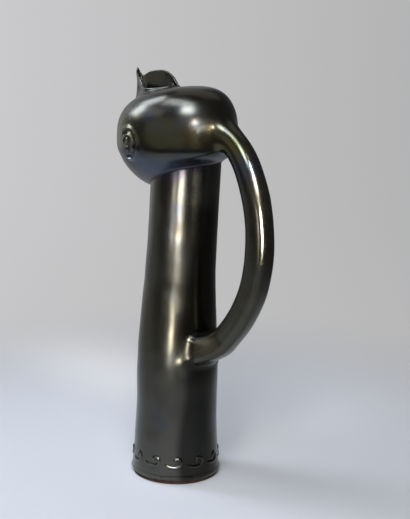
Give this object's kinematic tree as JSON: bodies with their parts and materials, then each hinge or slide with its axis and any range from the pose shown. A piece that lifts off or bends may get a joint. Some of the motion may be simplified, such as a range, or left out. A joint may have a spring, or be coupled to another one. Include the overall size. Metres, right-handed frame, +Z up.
{
  "type": "sculptural pitcher",
  "caption": "Tall hand-built ceramic pitcher: tapered tube, egg-shaped head leaning forward, pinched pointed mouth and a long arched handle, in a black lustre glaze.",
  "frame": {"origin": "centre of the flat underside of the foot, on the surface that the pitcher stands on", "axes": "+Z up along the tube; +X towards the handle, so the mouth's point is towards -X; +Y towards the pitcher's right side, where the mouth's crest stands up"},
  "size_m": [0.2739, 0.1652, 0.6],
  "materials": {
    "lustre_glaze": "black lustre glaze, satin gloss with a metallic sheen",
    "bare_clay": "unglazed fired clay, matt and gritty"
  },
  "bodies": {
    "root": {"base_slab": "bare_clay", "tube_lower": "lustre_glaze", "tube_upper": "lustre_glaze", "head_bowl": "lustre_glaze", "head_dome": "lustre_glaze", "mouth_collar": "lustre_glaze", "handle_arch": "lustre_glaze", "handle_root_upper": "lustre_glaze", "handle_root_lower": "lustre_glaze", "eye_rim_left": "lustre_glaze", "eye_lid_left": "lustre_glaze", "eye_boss_left": "lustre_glaze", "eye_bead_left": "lustre_glaze", "eye_rim_right": "lustre_glaze", "eye_lid_right": "lustre_glaze", "eye_boss_right": "lustre_glaze", "eye_bead_right": "lustre_glaze", "band_curl_01": "lustre_glaze", "band_curl_02": "lustre_glaze", "band_curl_03": "lustre_glaze", "band_curl_04": "lustre_glaze", "band_curl_05": "lustre_glaze", "band_curl_06": "lustre_glaze", "band_curl_07": "lustre_glaze", "band_curl_08": "lustre_glaze", "band_curl_09": "lustre_glaze", "band_curl_10": "lustre_glaze", "band_curl_11": "lustre_glaze", "band_curl_12": "lustre_glaze"}
  },
  "joints": []
}
